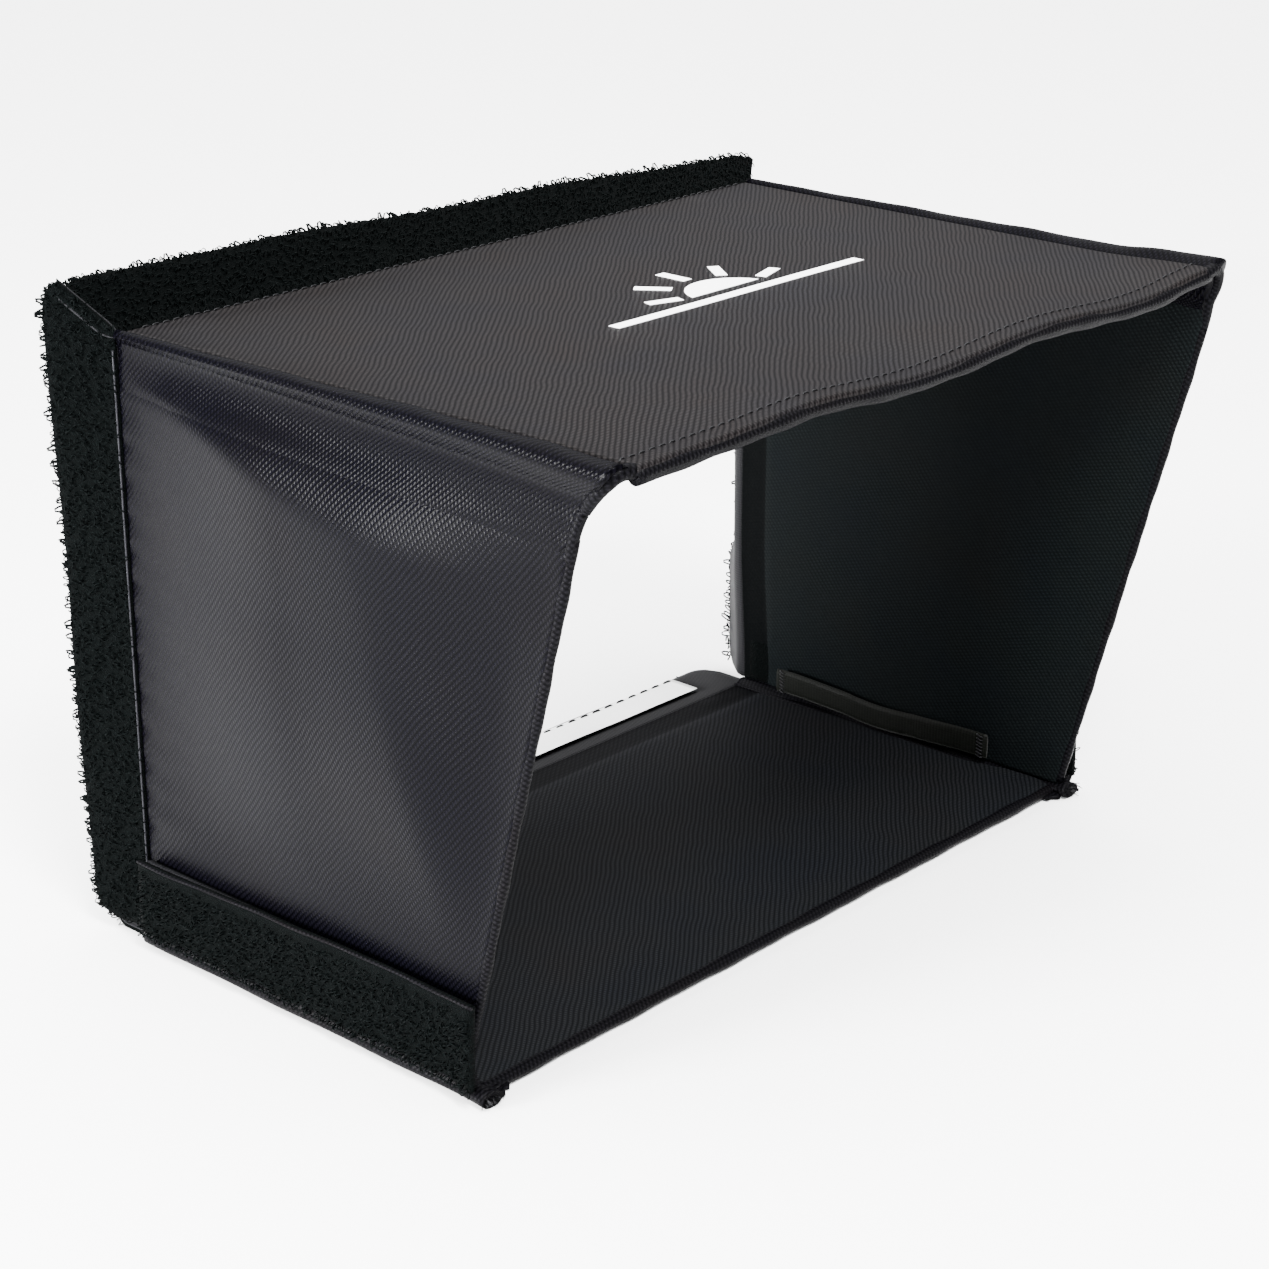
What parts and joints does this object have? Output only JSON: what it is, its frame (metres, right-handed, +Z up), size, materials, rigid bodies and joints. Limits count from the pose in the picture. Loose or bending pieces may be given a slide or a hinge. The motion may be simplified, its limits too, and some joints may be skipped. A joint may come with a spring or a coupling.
{
  "type": "folding screen sun hood",
  "caption": "Folding four-panel fabric sun-shade hood: open slanted front, rear hook-and-loop collar, side panels that fold in and peel-off side wings.",
  "frame": {"origin": "bottom centre of the whole hood's box, on the surface it stands on", "axes": "+X across the width, -Y out of the open front, +Y out of the rear collar, +Z up"},
  "size_m": [0.285, 0.204, 0.1925],
  "materials": {
    "cover_cloth": "black nylon twill with a soft sheen",
    "lining_cloth": "black woven nylon, matte",
    "stiffener_board": "grey board sealed in the panel",
    "loop_tape": "black brushed loop pile",
    "woven_backing": "smooth black woven tape",
    "hook_tape": "black moulded hooks",
    "liner_paper": "white silicone-coated release paper",
    "elastic_strap": "black ribbed webbing",
    "thread": "black polyester thread",
    "white_print": "white transfer print"
  },
  "bodies": {
    "base": {"bottom_cover": "cover_cloth", "bottom_stiffener": "stiffener_board", "bottom_lining": "lining_cloth", "bottom_flange_backing": "woven_backing", "bottom_flange_loop_tape": "loop_tape", "mount_hook_strip": "hook_tape", "release_liner": "liner_paper", "left_fold_roll": "cover_cloth", "right_fold_roll": "cover_cloth"},
    "canopy": {"top_cover": "cover_cloth", "top_stiffener": "stiffener_board", "top_lining": "lining_cloth", "left_corner_fold": "cover_cloth", "right_corner_fold": "cover_cloth", "top_flange_backing": "woven_backing", "top_flange_loop_tape": "loop_tape", "printed_symbol": "white_print"},
    "left_side": {"left_cover": "cover_cloth", "left_stiffener": "stiffener_board", "left_lining": "lining_cloth", "left_flange_backing": "woven_backing", "left_flange_loop_tape": "loop_tape", "left_foot_loop_strip": "loop_tape"},
    "right_side": {"right_cover": "cover_cloth", "right_stiffener": "stiffener_board", "right_lining": "lining_cloth", "right_flange_backing": "woven_backing", "right_flange_loop_tape": "loop_tape", "right_foot_loop_strip": "loop_tape", "inside_strap": "elastic_strap", "strap_bar_tacks": "thread"},
    "left_wing": {"left_wing_band": "loop_tape", "left_wing_hook_tape": "hook_tape"},
    "right_wing": {"right_wing_band": "loop_tape", "right_wing_hook_tape": "hook_tape"}
  },
  "joints": [
    {"name": "canopy_lift", "type": "slide", "parent": "base", "child": "canopy", "axis": [0, 0, 1], "range_m": [0, 0.15]},
    {"name": "left_side_fold", "type": "hinge", "parent": "canopy", "child": "left_side", "pos_m": [-0.1308, -0.011, 0.1806], "axis": [0, -1, 0], "range_deg": [0, 90]},
    {"name": "right_side_fold", "type": "hinge", "parent": "canopy", "child": "right_side", "pos_m": [0.1308, -0.011, 0.1806], "axis": [0, 1, 0], "range_deg": [0, 85]},
    {"name": "left_wing_peel", "type": "hinge", "parent": "base", "child": "left_wing", "pos_m": [-0.1392, 0.012, 0.0047], "axis": [0, -1, 0], "range_deg": [0, 90]},
    {"name": "right_wing_peel", "type": "hinge", "parent": "base", "child": "right_wing", "pos_m": [0.1392, 0.012, 0.0047], "axis": [0, 1, 0], "range_deg": [0, 90]}
  ]
}
